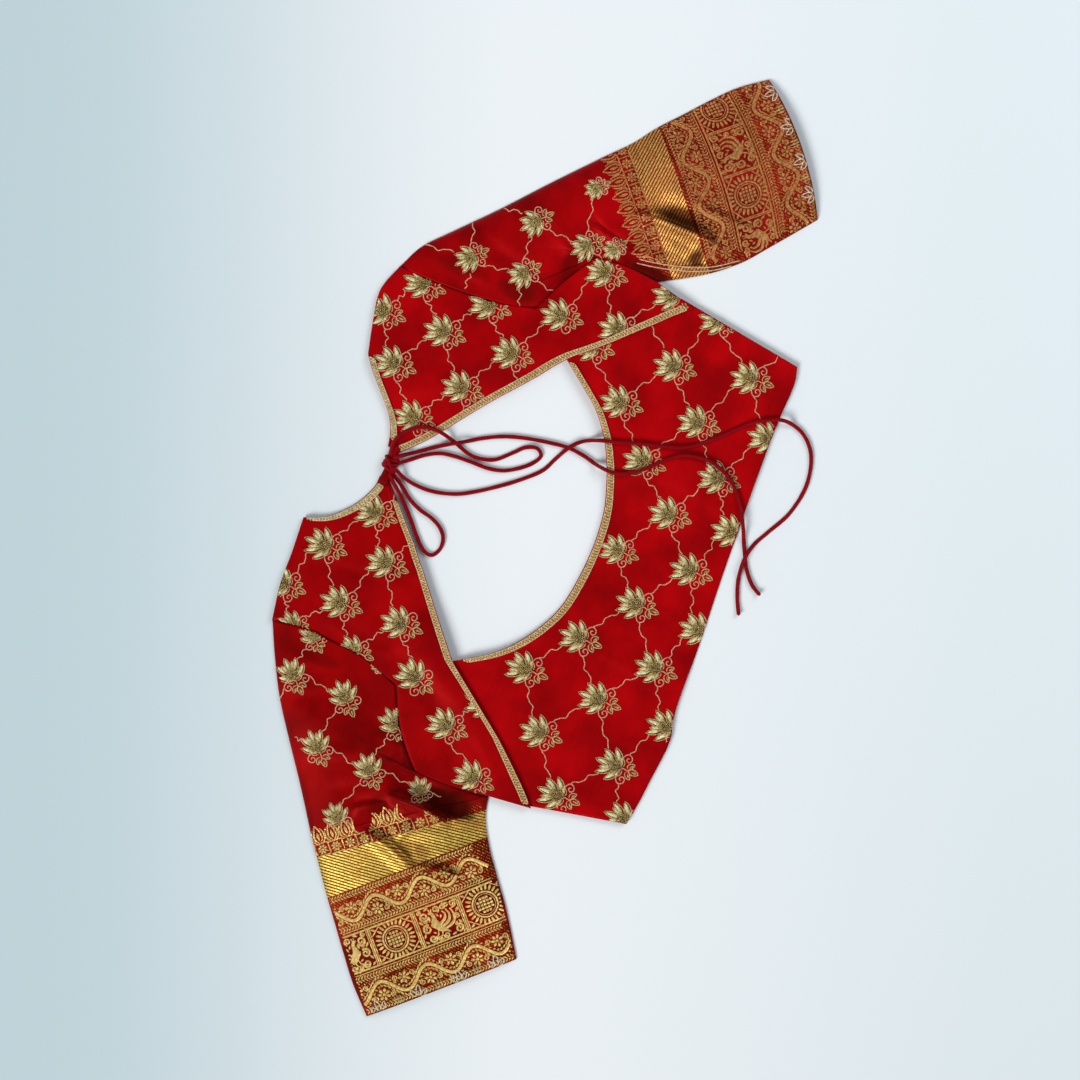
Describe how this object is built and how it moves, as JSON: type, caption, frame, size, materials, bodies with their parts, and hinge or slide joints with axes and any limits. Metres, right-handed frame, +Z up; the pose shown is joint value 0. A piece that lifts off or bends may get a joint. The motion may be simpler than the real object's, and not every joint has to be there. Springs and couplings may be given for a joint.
{
  "type": "choli blouse laid flat, back uppermost",
  "caption": "Short fitted blouse laid face down: open back with crossed-over straps, embroidered cloth, brocade-bordered sleeves and a tie in a bow at the nape.",
  "frame": {"origin": "the middle of the garment's base, on the surface it lies on; the ties and bow are left out of that box", "axes": "+X to the wearer's right, along the sleeves; +Y to the neck; +Z up, out of the back"},
  "size_m": [0.876, 0.4043, 0.0158],
  "materials": {
    "embroidered_cloth": "smooth red blend with a low sheen, embroidered in pale gold and coppery thread",
    "plain_cloth": "the same red cloth without embroidery",
    "brocade": "woven metal-thread brocade on a deep red ground",
    "gold_braid": "flat gold braid with bead rows",
    "silver_braid": "flat pale gold braid with bead rows",
    "tie_cord": "dark crimson rolled cord"
  },
  "bodies": {
    "root": {"back_lower": "embroidered_cloth", "back_strap_left": "embroidered_cloth", "back_strap_right": "embroidered_cloth", "front_left": "plain_cloth", "front_right": "plain_cloth", "sleeve_left": "embroidered_cloth", "sleeve_right": "embroidered_cloth", "sleeve_border_left": "brocade", "sleeve_border_right": "brocade", "strap_trim_left": "gold_braid", "strap_trim_right": "gold_braid", "lower_trim": "gold_braid", "neck_trim_left": "silver_braid", "neck_trim_right": "silver_braid", "knot": "tie_cord", "tie_long": "tie_cord", "tie_short": "tie_cord", "bow_left": "tie_cord", "bow_right": "tie_cord"}
  },
  "joints": []
}
